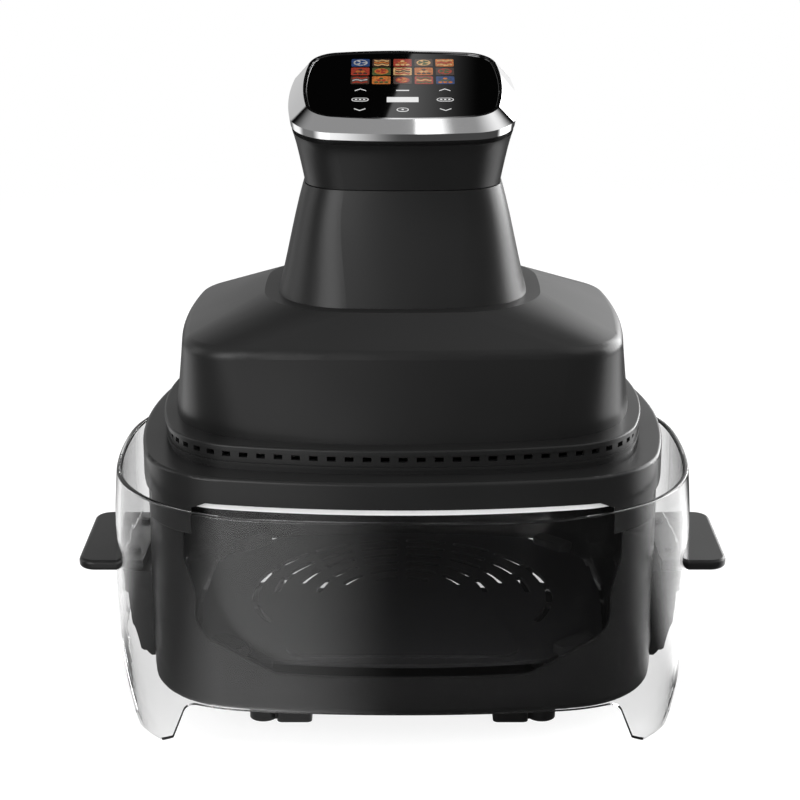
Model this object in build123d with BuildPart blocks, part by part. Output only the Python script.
"""Countertop glass air fryer: clear stand, windowed tub, glass pot, crisper plate and heater head."""

import os
from math import atan2, cos, degrees, radians, sin

from build123d import *

os.makedirs("parts", exist_ok=True)


def spread(size, x, y, corner=0.0, bow=0.0):
    """Outline size with half width, half depth, corner radius and side bow changed by amounts."""
    return (size[0] + x, size[1] + y, size[2] + corner, size[3] + bow)


def inset(size, amount):
    """Outline size moved inwards by an amount, or outwards when it is negative."""
    half_x, half_y, corner, bow = size
    return (half_x - amount, half_y - amount, max(corner - amount, 4.0), bow)


def between(low, high, share):
    """Outline size part of the way from one size to another."""
    return tuple(start + share * (finish - start) for start, finish in zip(low, high))


# Walls and fits
stand_wall = 3.0
tub_wall = 2.5
pot_wall = 3.0
case_wall = 2.5
neck_wall = 2.2
sheet = 1.2
fit_gap = 0.1
loose_gap = 0.3
pot_gap = 1.0
pin_gap = 0.05

# Screws: thread radius, hole radius, head radius and head height
screw = 1.5
screw_hole = 1.6
screw_head = 3.0
head_height = 2.0

# Heights of the stacked pieces, and the levels above the table that follow from them
tub_base = 20.0
rim_level = tub_base + 118.0
stand_top = rim_level + 1.0
collar_base = rim_level + 4.0
collar_top = collar_base + 15.0
ledge_level = collar_top + 14.0
shoulder_level = ledge_level + 49.0
neck_base = shoulder_level + 18.0
neck_seam = neck_base + 61.0
cap_level = neck_seam + 37.3
ring_gap = 3.2
bezel_base = cap_level + ring_gap
bezel_edge = bezel_base + 4.0
bezel_top = bezel_edge + 8.1

# Outline sizes, each as half width, half depth, corner radius and side bow
tub_size = (147.0, 113.5, 55.0, 17.0)
stand_rim = spread(tub_size, 17.5, 14.0, 45.0)
stand_belly = spread(stand_rim, 2.0, 2.0, -8.0, -1.0)
stand_foot = spread(stand_rim, -4.0, 2.0, -17.0, -2.0)
pot_rim = inset(tub_size, tub_wall + pot_gap)
pot_foot = spread(pot_rim, -22.0, -4.5, 0.0, -5.0)
seal_outer = inset(tub_size, 1.0)
seal_inner = inset(pot_rim, pot_wall + 1.5)
collar_size = inset(tub_size, -2.2)
vent_size = spread(collar_size, -13.7, -14.2, -7.0)
dome_foot = spread(vent_size, -5.5, -8.5, 5.0, 1.0)
dome_shoulder = spread(dome_foot, -6.0, -4.5, -21.0, -11.0)
pan_size = spread(vent_size, -26.8, -27.0, -24.0, -5.0)
flange_size = spread(pan_size, 22.8, 22.8, 4.0)
neck_foot = (70.0, 60.0, 42.0, 5.0)
roof_size = inset(neck_foot, -8.0)
neck_knee = spread(neck_foot, -3.0, -4.5, -4.0)
neck_body = spread(neck_foot, -5.7, -9.0, -8.0)
neck_waist = spread(neck_foot, -14.7, -19.5, -16.0)
cap_middle = spread(neck_waist, 2.3, 4.0)
cap_size = spread(neck_waist, 6.7, 12.0, -1.0)
bezel_foot = spread(cap_size, 0.8, 1.3)
bezel_wide = inset(bezel_foot, -0.6)
glass_size = spread(bezel_wide, -9.8, -9.8, -9.0)
display_tilt = 16.0
ring_tilt = 12.0


def level(height):
    """Horizontal plane at a height above the table."""
    return Plane.XY.offset(height)


def tilted(height, angle):
    """Plane leaning towards the user through the neck axis."""
    turn = radians(angle)
    return Plane(origin=(0, 0, height), x_dir=(1, 0, 0), z_dir=(0, -sin(turn), cos(turn)))


def outline(size, plane):
    """Closed outline with four bowed sides and rounded corners."""
    half_x, half_y, corner, bow = size
    edge_x = half_x - bow
    edge_y = half_y - bow
    with BuildSketch(plane) as section:
        with BuildLine():
            ThreePointArc((-edge_x, -edge_y), (0, -half_y), (edge_x, -edge_y))
            ThreePointArc((edge_x, -edge_y), (half_x, 0), (edge_x, edge_y))
            ThreePointArc((edge_x, edge_y), (0, half_y), (-edge_x, edge_y))
            ThreePointArc((-edge_x, edge_y), (-half_x, 0), (-edge_x, -edge_y))
        make_face()
        fillet(section.vertices(), corner)
    return section.sketch


def block(size, base, top, mode=Mode.ADD):
    """Straight solid with the same outline from base to top."""
    extrude(outline(size, level(base)), amount=top - base, mode=mode)


def stack(steps, mode=Mode.ADD):
    """Solid that runs through outlines given as pairs of size and height."""
    loft([outline(size, level(height)).face() for size, height in steps], mode=mode)


def pillar(radius, base, top, places, mode=Mode.ADD):
    """Upright round pillars or holes at the given places."""
    with BuildSketch(level(base)) as discs:
        with Locations(*places):
            Circle(radius)
    extrude(discs.sketch, amount=top - base, mode=mode)


def side_discs(radius, face):
    """Discs at the bracket screws, on an upright plane at the given distance from the middle."""
    with BuildSketch(Plane.YZ.offset(face)) as discs:
        with Locations(*side_screw_places):
            Circle(radius)
    return discs.sketch


def four_places(x, y):
    """The same place in all four quarters."""
    return [(x, y), (-x, y), (-x, -y), (x, -y)]


def cross_places(x, y):
    """One place at each end of both axes."""
    return [(x, 0), (-x, 0), (0, y), (0, -y)]


def save(builder, name):
    """Label the finished piece and write its file."""
    builder.part.label = name
    export_step(builder.part, f"parts/{name}.step")


# Places that several pieces share
side_x = tub_size[0]
tongue_base = 78.0
tongue_top = tongue_base + 6.0
bracket_base = tongue_base - 52.0
handle_half = 42.0
handle_screw_places = four_places(side_x + 9.5, 24.0)
side_screw_places = [(-26.0, bracket_base + 24), (26.0, bracket_base + 24)]
collar_screw_places = four_places(vent_size[0] - 8.0, 30.0)
case_screw_places = four_places(dome_foot[0] - 10.5, 30.0)
guard_screw_places = cross_places(pan_size[0] + 12.0, pan_size[1] + 12.0)
neck_screw_places = cross_places(neck_foot[0] - 8.5, neck_foot[1] - 8.5)

# Clear stand: one sleeve with four corner legs
arch_level = 29.5
side_arch = 48.0
foot_x = stand_foot[0]
foot_y = stand_foot[1]
belly_level = 80.0
stand_steps = ((stand_foot, 0), (stand_belly, belly_level), (stand_rim, stand_top))
with BuildPart() as stand:
    stack(stand_steps)
    stack([(inset(size, stand_wall), height) for size, height in stand_steps], mode=Mode.SUBTRACT)
    with BuildSketch(Plane.XZ) as front_arch:
        with BuildLine():
            Polyline(
                (26.5 - foot_x, 0), (33.5 - foot_x, 5), (42.5 - foot_x, arch_level),
                (foot_x - 42.5, arch_level), (foot_x - 33.5, 5), (foot_x - 26.5, 0), close=True,
            )
        make_face()
        fillet(front_arch.vertices().sort_by(Axis.Y)[-2:], 9)
    extrude(amount=foot_y + 40, both=True, mode=Mode.SUBTRACT)
    with BuildSketch(Plane.YZ) as side_cut:
        with BuildLine():
            Polyline(
                (49.5 - foot_y, 0), (55.5 - foot_y, 6), (83.5 - foot_y, side_arch),
                (foot_y - 83.5, side_arch), (foot_y - 55.5, 6), (foot_y - 49.5, 0), close=True,
            )
        make_face()
        fillet(side_cut.vertices().sort_by(Axis.Y)[-2:], 22)
    extrude(amount=foot_x + 40, both=True, mode=Mode.SUBTRACT)
    with Locations((0, 0, (tongue_base + tongue_top) / 2)):
        passage = (4 * foot_x, 2 * (handle_half + fit_gap), tongue_top - tongue_base + 2 * fit_gap)
        Box(*passage, mode=Mode.SUBTRACT)
    rim_edges = stand.edges().filter_by(lambda e: e.center().Z > stand_top - 0.5)
    fillet(rim_edges, 1.2)
save(stand, "stand")

# Tub: black body with an open front window and a low opening at the back
window_half = side_x - 28.0
window_narrow = window_half - 5.5
window_base = 44.0
tub_fillet = 6.0
leg_x = side_x - 77.0
leg_places = [(-leg_x, -69.0), (leg_x, -69.0), (-leg_x, 46.0), (leg_x, 46.0)]
plug_radius = 3.0
with BuildPart() as tub_core:
    block(tub_size, tub_base, rim_level)
    fillet(tub_core.faces().sort_by(Axis.Z)[0].edges(), tub_fillet)
with BuildPart() as tub:
    add(tub_core.part)
    block(inset(tub_size, tub_wall), tub_base + tub_wall, rim_level, mode=Mode.SUBTRACT)
    with BuildSketch(Plane.XZ.offset(tub_size[1] - 48.5)) as window:
        with BuildLine():
            Polyline(
                (-window_half, rim_level + 2), (-window_half, 107),
                (-window_narrow, 88), (-window_narrow, 66),
                (50 - window_half, window_base), (window_half - 50, window_base),
                (window_narrow, 66), (window_narrow, 88),
                (window_half, 107), (window_half, rim_level + 2), close=True,
            )
        make_face()
        fillet(window.vertices().sort_by(Axis.Y)[:4], 14)
    extrude(amount=80, mode=Mode.SUBTRACT)
    with Locations((0, tub_size[1] - 49.5, tub_base - 6)):
        Box(2 * (side_x - 47), 60, 32, align=(Align.CENTER, Align.MIN, Align.MIN), mode=Mode.SUBTRACT)
    pillar(plug_radius + fit_gap, tub_base - 1, tub_base + 4, leg_places, mode=Mode.SUBTRACT)
    extrude(side_discs(screw_hole, -2 * side_x), amount=4 * side_x, mode=Mode.SUBTRACT)
save(tub, "tub")

# Tub feet: a block and a round peg side by side, plugged into the tub floor
with BuildPart() as feet:
    with BuildSketch(level(0)):
        for place_x, place_y in leg_places:
            side = 1 if place_x > 0 else -1
            with Locations((place_x - side * 8.5, place_y)):
                RectangleRounded(20, 18, 3)
            with Locations((place_x + side * 9.4, place_y)):
                Circle(8)
            with Locations((place_x, place_y)):
                Rectangle(14, 9)
    extrude(amount=tub_base)
    pillar(plug_radius, tub_base, tub_base + tub_wall - loose_gap, leg_places)
save(feet, "tub_feet")

# Side brackets fill the gap between tub and stand and carry the handles
for side, name in ((-1, "left"), (1, "right")):
    side_places = [place for place in handle_screw_places if place[0] * side > 0]
    with BuildPart() as bracket:
        with BuildSketch(Plane.XZ):
            with BuildLine():
                Polyline(
                    (side * (side_x - 17), tongue_base), (side * (side_x + 23), tongue_base),
                    (side * (side_x + 23), tongue_base - 6), (side * (side_x + 12), tongue_base - 13),
                    (side * (side_x + 10), tongue_base - 32), (side * (side_x + 5), tongue_base - 48),
                    (side * (side_x - 1), bracket_base), (side * (side_x - 17), bracket_base), close=True,
                )
            make_face()
        extrude(amount=handle_half, both=True)
        block(inset(tub_size, -fit_gap), tub_base, rim_level, mode=Mode.SUBTRACT)
        stand_inside = [(inset(size, stand_wall + fit_gap), height) for size, height in stand_steps]
        stack(stand_inside, mode=Mode.INTERSECT)
        extrude(side_discs(screw_hole, side * (side_x - 17)), amount=side * 24, mode=Mode.SUBTRACT)
        pillar(screw_hole, tongue_base - 10, tongue_base, side_places, mode=Mode.SUBTRACT)
    save(bracket, f"bracket_{name}")

    # Handle tongue that passes through the stand wall and is screwed to the bracket
    with BuildPart() as handle:
        with BuildSketch(level(tongue_base)) as tongue:
            with Locations((side * (side_x + 21), 0)):
                Rectangle(38, 2 * handle_half)
            fillet(tongue.vertices().sort_by(lambda v: side * v.X)[-2:], 10)
        extrude(amount=tongue_top - tongue_base)
        rounded = handle.edges().filter_by(lambda e: abs(e.center().X) > side_x + 22).group_by(Axis.Z)
        fillet(rounded[-1] + rounded[0], 2.2)
        pillar(screw_hole, tongue_base, tongue_top, side_places, mode=Mode.SUBTRACT)
    save(handle, f"handle_{name}")

# Screws that hold the handles down on the brackets
with BuildPart() as handle_screws:
    pillar(screw, tongue_base - 9, tongue_top, handle_screw_places)
    pillar(screw_head, tongue_top, tongue_top + head_height, handle_screw_places)
    with Locations(*[(x, y, tongue_top + head_height) for x, y in handle_screw_places]):
        Box(4.2, 0.8, 1.6, mode=Mode.SUBTRACT)
save(handle_screws, "handle_screws")

# Screws from inside the tub into the brackets
head_seat = side_x - tub_wall - 1.6
with BuildPart() as bracket_screws:
    for side in (-1, 1):
        extrude(side_discs(screw, side * head_seat), amount=side * 9)
        extrude(side_discs(screw_head, side * (head_seat - head_height)), amount=side * head_height)
save(bracket_screws, "bracket_screws")

# Glass pot standing on the tub floor
pot_base = tub_base + tub_wall
pot_floor = pot_base + 3.5
with BuildPart() as pot:
    stack([(pot_foot, pot_base), (pot_rim, rim_level)])
    fillet(pot.faces().sort_by(Axis.Z)[0].edges(), 5)
    stack([(inset(pot_foot, pot_wall), pot_floor), (inset(pot_rim, pot_wall), rim_level)], mode=Mode.SUBTRACT)
    fillet(pot.faces().sort_by(Axis.Z)[-1].edges(), 1.0)
save(pot, "pot")

# Crisper plate with rings of arc slots, a smooth front land and four stand-offs
plate_base = pot_base + 22.5
plate_thick = 2.2
plate_top = plate_base + plate_thick
pot_share = (plate_base - pot_base) / (rim_level - pot_base)
plate_size = inset(between(pot_foot, pot_rim, pot_share), pot_wall + 2.4)
plate_x = plate_size[0]
plate_y = plate_size[1]
slot_width = 4.0
corner_turns = ((45, 1, 1), (135, -1, 1), (225, -1, -1), (315, 1, -1))
with BuildPart() as plate:
    block(plate_size, plate_base, plate_top)
    for ring in range(6):
        radius = plate_y - 13 - 12.5 * ring
        count = 18 - 2 * ring
        span = 360 / count - degrees(9.0 / radius)
        for step in range(count):
            middle = 90 + 360 / count * (step + 0.5)
            in_front = radius * sin(radians(middle)) < 10
            if in_front and abs(radius * cos(radians(middle))) < 76:
                continue
            slot_path = Edge.make_circle(radius, Plane.XY, middle - span / 2, middle + span / 2)
            with BuildSketch(level(plate_base)):
                SlotArc(slot_path, slot_width)
    extrude(amount=plate_thick, mode=Mode.SUBTRACT)
    with BuildSketch(level(plate_top)) as land:
        with BuildLine():
            Polyline((-47, 4), (47, 4), (68, 9 - plate_y), (-68, 9 - plate_y), close=True)
        make_face()
        fillet(land.vertices(), 12)
    extrude(amount=1.4)
    pillar(4, pot_floor, plate_base, four_places(plate_x - 42, plate_y - 45))
    for turn, x, y in corner_turns:
        with Locations(Location((x * (plate_x - 25), y * (plate_y - 22.6), plate_base), (0, 0, turn))):
            Box(30, 60, 20, align=(Align.MIN, Align.CENTER, Align.CENTER), mode=Mode.SUBTRACT)
save(plate, "crisper_plate")

# Soft corner blocks that grip the plate edge and keep it off the glass
with BuildPart() as bumpers:
    for turn, x, y in corner_turns:
        with BuildSketch(level(plate_base - 3)):
            with Locations(Location((x * (plate_x - 24.5), y * (plate_y - 22.1)), turn)):
                RectangleRounded(11, 26, 3)
    extrude(amount=10)
    fillet(bumpers.faces().group_by(Axis.Z)[-1].edges(), 1.2)
    add(plate.part, mode=Mode.SUBTRACT)
save(bumpers, "plate_bumpers")

# Milky seal between the head and the two rims below it
with BuildPart() as seal:
    block(seal_outer, rim_level, collar_base)
    block(seal_inner, rim_level, collar_base, mode=Mode.SUBTRACT)
save(seal, "rim_seal")

# Collar: skirt with raised arches, bottom web, top flange and four corner lugs
arch_half = side_x - 41.0
lug_base = rim_level - 15.0
web_top = collar_base + 3.0
flange_gap = spread(vent_size, -11.5, -13.5, -22.0, -5.0)
with BuildPart() as lugs:
    block(collar_size, lug_base, collar_base)
    fillet(lugs.faces().sort_by(Axis.Z)[0].edges(), 1.0)
    block(inset(tub_size, -loose_gap), lug_base, collar_base, mode=Mode.SUBTRACT)
    with Locations((0, 0, lug_base)):
        Box(4 * side_x, 2 * (tub_size[1] - 38), 80, mode=Mode.SUBTRACT)
        Box(2 * (side_x - 33), 4 * side_x, 80, mode=Mode.SUBTRACT)
with BuildPart() as collar:
    block(collar_size, rim_level + 0.4, collar_top)
    fillet(collar.faces().sort_by(Axis.Z)[-1].edges(), 2.0)
    block(inset(seal_outer, -loose_gap), rim_level + 0.4, collar_base, mode=Mode.SUBTRACT)
    block(inset(pan_size, -0.8), collar_base, collar_top, mode=Mode.SUBTRACT)
    block(inset(collar_size, case_wall), web_top, collar_top - case_wall, mode=Mode.SUBTRACT)
    block(flange_gap, collar_top - case_wall, collar_top, mode=Mode.SUBTRACT)
    with BuildSketch(Plane.XZ):
        with BuildLine():
            Polyline(
                (-arch_half - 8, rim_level), (-arch_half, collar_base), (arch_half, collar_base),
                (arch_half + 8, rim_level), close=True,
            )
        make_face()
    extrude(amount=2 * tub_size[1], both=True, mode=Mode.SUBTRACT)
    add(lugs.part)
    pillar(screw_hole, collar_top - case_wall, collar_top, collar_screw_places, mode=Mode.SUBTRACT)
    pillar(screw_hole, collar_base, web_top, guard_screw_places, mode=Mode.SUBTRACT)
save(collar, "collar")

# Vent ring: wall with a row of slots, a bead below them and the step above
slot_long = 4.8
slot_high = 2.7
slot_pitch = 9.6
slot_level = ledge_level - 5.6
with BuildPart() as vent_ring:
    block(vent_size, collar_top, ledge_level)
    block(inset(vent_size, -1.5), ledge_level - 3, ledge_level)
    fillet(vent_ring.faces().sort_by(Axis.Z)[-1].edges(), 1.2)
    block(inset(vent_size, -1.0), collar_top + 2.6, collar_top + 4.4)
    block(inset(vent_size, case_wall), collar_top + 2, ledge_level - 2, mode=Mode.SUBTRACT)
    block(flange_gap, collar_top, collar_top + 2, mode=Mode.SUBTRACT)
    block(spread(dome_foot, -12, -11, -29, -6), ledge_level - 2, ledge_level, mode=Mode.SUBTRACT)
    pillar(screw_hole, collar_top, collar_top + 2, collar_screw_places, mode=Mode.SUBTRACT)
    pillar(screw_hole, ledge_level - 2, ledge_level, case_screw_places, mode=Mode.SUBTRACT)
    slot_line = outline(vent_size, level(slot_level)).face().outer_wire()
    slot_count = round(slot_line.length / slot_pitch)
    slot_spots = []
    for number in range(slot_count):
        spot = slot_line @ ((number + 0.5) / slot_count)
        way = slot_line % ((number + 0.5) / slot_count)
        slot_spots.append(Location((spot.X, spot.Y, slot_level), (0, 0, degrees(atan2(way.Y, way.X)))))
    with Locations(*slot_spots):
        Box(slot_long, 9, slot_high, mode=Mode.SUBTRACT)
save(vent_ring, "vent_ring")

# Screws that pull the collar up against the vent ring
with BuildPart() as collar_screws:
    pillar(screw_head, collar_top - case_wall - head_height, collar_top - case_wall, collar_screw_places)
    pillar(screw, collar_top - case_wall, collar_top + 3, collar_screw_places)
save(collar_screws, "collar_screws")

# Dome: wide cover with a rising roof, rear louvres and a flat pad for the inlet
inlet_level = ledge_level + 25.0
pad_face = dome_foot[1] + 1.0
roof_edge = 7.0
with BuildPart() as dome:
    stack([(dome_foot, ledge_level), (dome_shoulder, shoulder_level)])
    stack([(dome_shoulder, shoulder_level), (roof_size, neck_base)])
    shoulder_edges = dome.edges().filter_by(lambda e: abs(e.center().Z - shoulder_level) < 0.5)
    fillet(shoulder_edges, roof_edge)
    with Locations((0, pad_face, inlet_level)):
        Box(44, 14, 32, align=(Align.CENTER, Align.MAX, Align.CENTER))
    stack([
        (inset(dome_foot, case_wall), ledge_level), (inset(dome_shoulder, case_wall), shoulder_level - 2),
    ], mode=Mode.SUBTRACT)
    stack([
        (inset(dome_shoulder, case_wall), shoulder_level - 2), (inset(roof_size, 3), neck_base - 3),
    ], mode=Mode.SUBTRACT)
    block(spread(neck_foot, -14, -14, -22), neck_base - 4, neck_base, mode=Mode.SUBTRACT)
    with Locations((0, pad_face - 4, inlet_level)):
        Box(28.4, 40, 20.4, mode=Mode.SUBTRACT)
    for side in (-1, 1):
        for row in range(6):
            with Locations((side * 56, dome_foot[1] - 5, inlet_level - 14 + 5 * row)):
                Box(36, 20, 2, mode=Mode.SUBTRACT)
    pillar(3.6, ledge_level + 1.5, ledge_level + 15, case_screw_places)
    pillar(screw_hole, ledge_level + 1.5, ledge_level + 13, case_screw_places, mode=Mode.SUBTRACT)
    pillar(screw_hole, neck_base - 4, neck_base, neck_screw_places, mode=Mode.SUBTRACT)
save(dome, "dome")

# Screws up through the vent ring and motor plate into the dome
with BuildPart() as case_screws:
    pillar(screw_head, ledge_level - 2 - head_height, ledge_level - 2, case_screw_places)
    pillar(screw, ledge_level - 2, ledge_level + 11, case_screw_places)
save(case_screws, "case_screws")

# Power inlet: housing pushed through the pad, with a deep socket and three pins
with BuildPart() as inlet:
    with Locations((0, pad_face + 2, inlet_level)):
        Box(36, 2, 28, align=(Align.CENTER, Align.MAX, Align.CENTER))
        Box(28, 26, 20, align=(Align.CENTER, Align.MAX, Align.CENTER))
        Box(23, 18, 14, align=(Align.CENTER, Align.MAX, Align.CENTER), mode=Mode.SUBTRACT)
    fillet(inlet.edges().filter_by(Axis.Y).filter_by(lambda e: abs(e.center().X) > 17), 4)
save(inlet, "power_inlet")
with BuildPart() as pins:
    for x, z in ((-7, -2), (0, 3), (7, -2)):
        with Locations((x, pad_face - 16, inlet_level + z)):
            Box(2, 12, 4, align=(Align.CENTER, Align.MIN, Align.CENTER))
save(pins, "inlet_pins")

# Heater coil sizes, fitted between the impeller and the pan wall
pan_ceiling = collar_base + 20.5
coil_level = collar_base + 4.0
coil_tube = 3.0
coil_leg = 8.0
coil_rise = 8.0
coil_pitch = 4.0
coil_turns = 4
coil_outer = pan_size[1] - sheet - coil_tube - loose_gap
coil_inner = coil_outer - coil_pitch * coil_turns
coil_end = pan_ceiling + 14.0
coil_places = [(coil_inner, -coil_leg), (coil_outer, coil_leg)]
probe_reach = (coil_inner + coil_outer) / 2
probe_place = [(-0.84 * probe_reach, 0.55 * probe_reach)]

# Reflector pan under the collar web
with BuildPart() as pan:
    block(pan_size, collar_base - sheet, pan_ceiling + sheet)
    fillet(pan.faces().sort_by(Axis.Z)[-1].edges(), 3)
    block(flange_size, collar_base - sheet, collar_base)
    block(inset(pan_size, sheet), collar_base - sheet, pan_ceiling, mode=Mode.SUBTRACT)
    pillar(5.2, pan_ceiling, pan_ceiling + sheet, coil_places + [(0, 0)], mode=Mode.SUBTRACT)
    pillar(2.6, pan_ceiling, pan_ceiling + sheet, probe_place, mode=Mode.SUBTRACT)
    pillar(screw_hole, collar_base - sheet, collar_base, guard_screw_places, mode=Mode.SUBTRACT)
save(pan, "reflector_pan")

# Fan guard: thin plate with radial slots below the pan
guard_top = collar_base - sheet
guard_base = guard_top - 1.0
with BuildPart() as guard:
    block(inset(flange_size, 3), guard_base, guard_top)
    with BuildSketch(level(guard_base)):
        with PolarLocations(46, 20):
            SlotOverall(44, 6)
        for x in (-92, -80, 80, 92):
            with Locations((x, 0)):
                SlotOverall(70, 5, rotation=90)
    extrude(amount=guard_top - guard_base, mode=Mode.SUBTRACT)
    pillar(screw_hole, guard_base, guard_top, guard_screw_places, mode=Mode.SUBTRACT)
save(guard, "fan_guard")

# Screws up through guard and pan into the collar
with BuildPart() as guard_screws:
    pillar(screw_head, guard_base - 1.8, guard_base, guard_screw_places)
    pillar(screw, guard_base, web_top + 2, guard_screw_places)
save(guard_screws, "guard_screws")

# Heater coil: one unbroken tube of half turns with both ends bent upwards
bend = coil_rise * cos(radians(45))
lift = coil_level + coil_rise
with BuildPart() as coil:
    with BuildLine() as coil_path:
        Line((coil_inner, -coil_leg, coil_end), (coil_inner, -coil_leg, lift))
        ThreePointArc(
            (coil_inner, -coil_leg, lift), (coil_inner, -bend, lift - bend), (coil_inner, 0, coil_level)
        )
        for turn in range(coil_turns):
            side = 1 if turn % 2 == 0 else -1
            start = side * (coil_inner + coil_pitch * turn)
            finish = -side * (coil_inner + coil_pitch * (turn + 1))
            reach = abs(start - finish) / 2
            middle = ((start + finish) / 2, side * reach, coil_level)
            ThreePointArc((start, 0, coil_level), middle, (finish, 0, coil_level))
        ThreePointArc(
            (coil_outer, 0, coil_level), (coil_outer, bend, lift - bend), (coil_outer, coil_leg, lift)
        )
        Line((coil_outer, coil_leg, lift), (coil_outer, coil_leg, coil_end))
    with BuildSketch(Plane(origin=(coil_inner, -coil_leg, coil_end), z_dir=(0, 0, -1))):
        Circle(coil_tube)
    sweep()
save(coil, "heater_coil")
coil_wire = coil_path.wires()[0]
path_points = [coil_wire @ (number / 400) for number in range(401)]
least_gap = min(
    (path_points[first] - path_points[second]).length - 2 * coil_tube
    for first in range(0, 401, 4)
    for second in range(first + 60, 401)
)
print(f"least gap of the heater coil to itself: {least_gap:.2f} mm")

# Ceramic bushes that carry the coil ends through the pan
with BuildPart() as bushes:
    pillar(5.0, pan_ceiling - 2, pan_ceiling + 6, coil_places)
    pillar(6.4, pan_ceiling + sheet, pan_ceiling + 3.2, coil_places)
    pillar(coil_tube + pin_gap, pan_ceiling - 3, pan_ceiling + 8, coil_places, mode=Mode.SUBTRACT)
save(bushes, "heater_bushes")

# Temperature probe through the pan ceiling
with BuildPart() as probe:
    pillar(2.5, coil_level + coil_tube + 2, pan_ceiling + 5, probe_place)
    pillar(4.5, pan_ceiling + sheet, pan_ceiling + 2.4, probe_place)
    fillet(probe.faces().sort_by(Axis.Z)[0].edges(), 2)
save(probe, "temperature_probe")

# Motor plate: heat shield on the vent ring, below the motor
plate_level = ledge_level + 1.5
post_places = four_places(34, 34)
board_x = 45.0 - dome_foot[0]
board_places = [(board_x - 21, -26), (board_x - 21, 26), (board_x + 21, -26), (board_x + 21, 26)]
with BuildPart() as motor_plate:
    block(inset(dome_foot, case_wall + 1), ledge_level, plate_level)
    pillar(8, ledge_level, plate_level, [(0, 0)], mode=Mode.SUBTRACT)
    pillar(4, ledge_level, plate_level, coil_places + probe_place, mode=Mode.SUBTRACT)
    plate_holes = case_screw_places + post_places + board_places
    pillar(screw_hole, ledge_level, plate_level, plate_holes, mode=Mode.SUBTRACT)
save(motor_plate, "motor_plate")

# Motor bracket: a plate on four posts above the cooling fan
yoke_level = plate_level + 17.5
case_base = yoke_level + 2.0
case_top = case_base + 28.0
case_radius = 30.0
yoke_wide = 78.0
shaft_radius = 4.0
bush_radius = 7.0
with BuildPart() as yoke:
    pillar(4, plate_level, yoke_level, post_places)
    pillar(1.4, plate_level, plate_level + 8, post_places, mode=Mode.SUBTRACT)
    with BuildSketch(level(yoke_level)):
        RectangleRounded(yoke_wide, yoke_wide, 6)
        Circle(bush_radius + fit_gap, mode=Mode.SUBTRACT)
    extrude(amount=case_base - yoke_level)
    pillar(screw_hole, yoke_level, case_base, four_places(22, 22), mode=Mode.SUBTRACT)
save(yoke, "motor_bracket")
with BuildPart() as motor_screws:
    pillar(2.8, ledge_level - head_height, ledge_level, post_places)
    pillar(1.3, ledge_level, plate_level + 7, post_places)
save(motor_screws, "motor_screws")

# Motor case and cap with the stator ring between them
with BuildPart() as motor_case:
    pillar(case_radius, case_base, case_top, [(0, 0)])
    pillar(case_radius - 2, case_base + 2, case_top, [(0, 0)], mode=Mode.SUBTRACT)
    pillar(bush_radius + fit_gap, case_base, case_base + 2, [(0, 0)], mode=Mode.SUBTRACT)
save(motor_case, "motor_case")
with BuildPart() as motor_cap:
    pillar(case_radius, case_top, case_top + 2, [(0, 0)])
    pillar(bush_radius + 2, case_top, case_top + 6, [(0, 0)])
    pillar(bush_radius + fit_gap, case_top, case_top + 6, [(0, 0)], mode=Mode.SUBTRACT)
save(motor_cap, "motor_cap")
with BuildPart() as stator:
    pillar(case_radius - 2 - fit_gap, case_base + 3, case_top - 1, [(0, 0)])
    pillar(19, case_base + 3, case_top - 1, [(0, 0)], mode=Mode.SUBTRACT)
    with PolarLocations(21, 8):
        with Locations((0, 0, (case_base + case_top) / 2)):
            Box(5, 5, 40, mode=Mode.SUBTRACT)
save(stator, "stator")
with BuildPart() as motor_bushes:
    pillar(bush_radius, yoke_level, case_base + 2, [(0, 0)])
    pillar(bush_radius, case_top, case_top + 6, [(0, 0)])
    pillar(shaft_radius + pin_gap, yoke_level - 1, case_top + 7, [(0, 0)], mode=Mode.SUBTRACT)
save(motor_bushes, "motor_bushes")

# Turning parts: shaft, rotor, cooling fan, hot air impeller and its nut
impeller_base = collar_base + 7.5
with BuildPart() as shaft:
    pillar(shaft_radius, impeller_base - 4.5, case_top + 8, [(0, 0)])
    chamfer(shaft.edges(), 0.6)
save(shaft, "shaft")
with BuildPart() as rotor:
    pillar(18.4, case_base + 4, case_top - 2, [(0, 0)])
    pillar(shaft_radius, case_base + 4, case_top - 2, [(0, 0)], mode=Mode.SUBTRACT)
save(rotor, "rotor")


def wheel(radius, base, height, disc_low, blades, lean):
    """Fan wheel: hub, disc and leaning blades around the shaft."""
    disc_base = base if disc_low else base + height - sheet
    with BuildPart() as fan:
        pillar(radius, disc_base, disc_base + sheet, [(0, 0)])
        pillar(9, base, base + height, [(0, 0)])
        for number in range(blades):
            angle = 360 / blades * number
            x = 0.62 * radius * cos(radians(angle))
            y = 0.62 * radius * sin(radians(angle))
            with Locations(Location((x, y, base + height / 2), (0, 0, angle + lean))):
                Box(0.66 * radius, sheet, height)
        pillar(shaft_radius, base - 1, base + height + 1, [(0, 0)], mode=Mode.SUBTRACT)
    return fan


save(wheel(40, plate_level + 3.5, 9, True, 9, 18), "cooling_fan")
save(wheel(coil_inner - coil_tube - 5, impeller_base, 9.5, False, 10, 24), "hot_air_impeller")
with BuildPart() as nut:
    with BuildSketch(level(impeller_base - 3.5)):
        RegularPolygon(7, 6)
        Circle(shaft_radius, mode=Mode.SUBTRACT)
    extrude(amount=3.5)
save(nut, "fan_nut")

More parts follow.
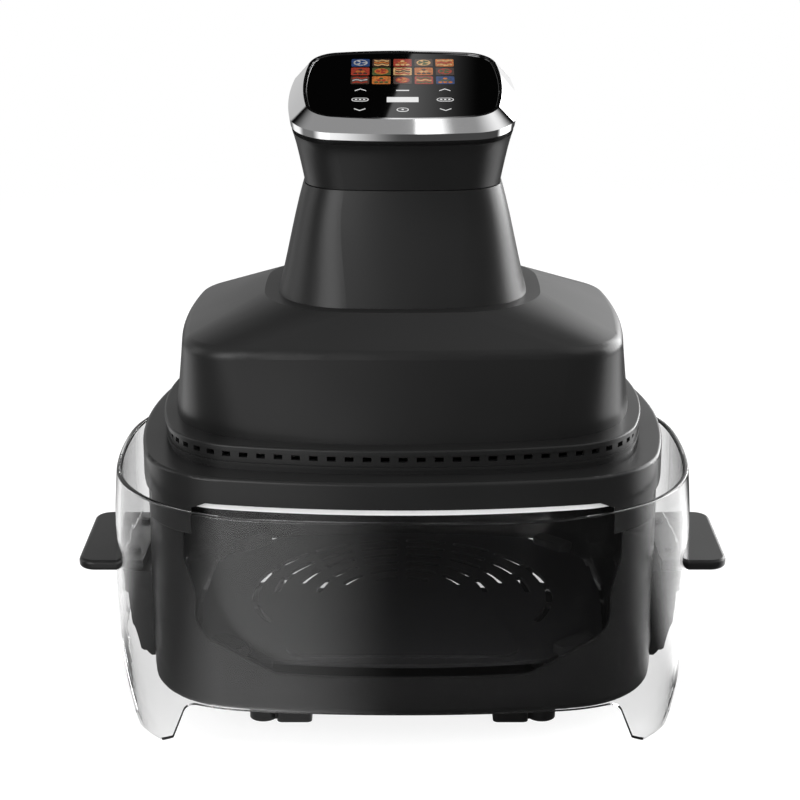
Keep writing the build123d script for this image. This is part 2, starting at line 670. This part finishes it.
# Power board beside the motor, on four posts
board_level = plate_level + 6.0
board_top = board_level + 1.6
with BuildPart() as board_posts:
    pillar(3, plate_level, board_level, board_places)
    pillar(1.2, ledge_level, board_top, board_places)
save(board_posts, "board_posts")
with BuildPart() as power_board:
    with Locations((board_x, 0, board_level)):
        Box(52, 64, board_top - board_level, align=(Align.CENTER, Align.CENTER, Align.MIN))
    pillar(1.3, board_level, board_top, board_places, mode=Mode.SUBTRACT)
save(power_board, "power_board")
with BuildPart() as board_parts:
    for x, y, wide, deep, high in ((-9, 8, 22, 18, 16), (11, 10, 12, 20, 13), (-11, -16, 16, 12, 9)):
        with Locations((board_x + x, y, board_top)):
            Box(wide, deep, high, align=(Align.CENTER, Align.CENTER, Align.MIN))
    pillar(5.5, board_top, board_top + 13.4, [(board_x + 9, -14)])
save(board_parts, "board_parts")

# Neck: waisted column standing on the dome
neck_steps = (
    (neck_foot, neck_base), (neck_knee, neck_base + 12), (neck_body, neck_base + 24), (neck_waist, neck_seam),
)
neck_floor = neck_base + 3.0
with BuildPart() as neck:
    stack(neck_steps)
    neck_inside = [(inset(size, neck_wall), max(height, neck_floor)) for size, height in neck_steps]
    stack(neck_inside, mode=Mode.SUBTRACT)
    block(spread(neck_foot, -14, -14, -22), neck_base, neck_floor, mode=Mode.SUBTRACT)
    pillar(screw_hole, neck_base, neck_floor, neck_screw_places, mode=Mode.SUBTRACT)
save(neck, "neck")
with BuildPart() as neck_screws:
    pillar(2.8, neck_base - 3 - head_height, neck_base - 3, neck_screw_places)
    pillar(screw, neck_base - 3, neck_base + 6, neck_screw_places)
save(neck_screws, "neck_screws")

# Neck cap: flares up to the display and plugs into the neck
plug_base = neck_seam - 8.0
cap_base = neck_seam + 0.4
seat_rise = ring_gap * cos(radians(ring_tilt)) - pin_gap
with BuildPart() as cap:
    loft([
        outline(inset(neck_waist, 0.4), level(cap_base)).face(),
        outline(cap_middle, level(neck_seam + 14)).face(),
        outline(cap_size, tilted(cap_level, ring_tilt)).face(),
    ])
    block(inset(neck_waist, neck_wall + loose_gap), plug_base, cap_base)
    extrude(outline(inset(cap_size, 3), tilted(cap_level, ring_tilt)), amount=seat_rise)
    loft([
        outline(inset(neck_waist, neck_wall + case_wall), level(plug_base)).face(),
        outline(inset(cap_size, 5.5), tilted(bezel_base + 1, ring_tilt)).face(),
    ], mode=Mode.SUBTRACT)
save(cap, "neck_cap")

# Bezel: satin ring with a wide upper bevel around the glass
glass_thick = 2.4
glass_recess = 0.6
display_plane = tilted(bezel_top, display_tilt)
with BuildPart() as bezel:
    wide_face = outline(bezel_wide, tilted(bezel_edge, ring_tilt)).face()
    loft([outline(bezel_foot, tilted(bezel_base, ring_tilt)).face(), wide_face])
    loft([wide_face, outline(inset(glass_size, -1.6), display_plane).face()])
    extrude(outline(glass_size, display_plane), amount=-glass_recess - glass_thick, mode=Mode.SUBTRACT)
    extrude(outline(inset(glass_size, 4), display_plane), amount=-40, mode=Mode.SUBTRACT)
save(bezel, "bezel")

# Display: glass, spacer frame and board stacked behind it
spacer_high = 4.0
glass_plane = display_plane.offset(-glass_recess)
spacer_plane = glass_plane.offset(-glass_thick)
with BuildPart() as glass:
    extrude(outline(inset(glass_size, fit_gap), glass_plane), amount=-glass_thick)
    fillet(glass.faces().sort_by(Axis.Z)[-1].edges(), 0.6)
save(glass, "display_glass")
with BuildPart() as spacer:
    extrude(outline(inset(glass_size, 5), spacer_plane), amount=-spacer_high)
    extrude(outline(inset(glass_size, 8), spacer_plane), amount=-spacer_high, mode=Mode.SUBTRACT)
save(spacer, "display_spacer")
with BuildPart() as display_board:
    extrude(outline(inset(glass_size, 5), spacer_plane.offset(-spacer_high)), amount=-1.6)
save(display_board, "display_board")
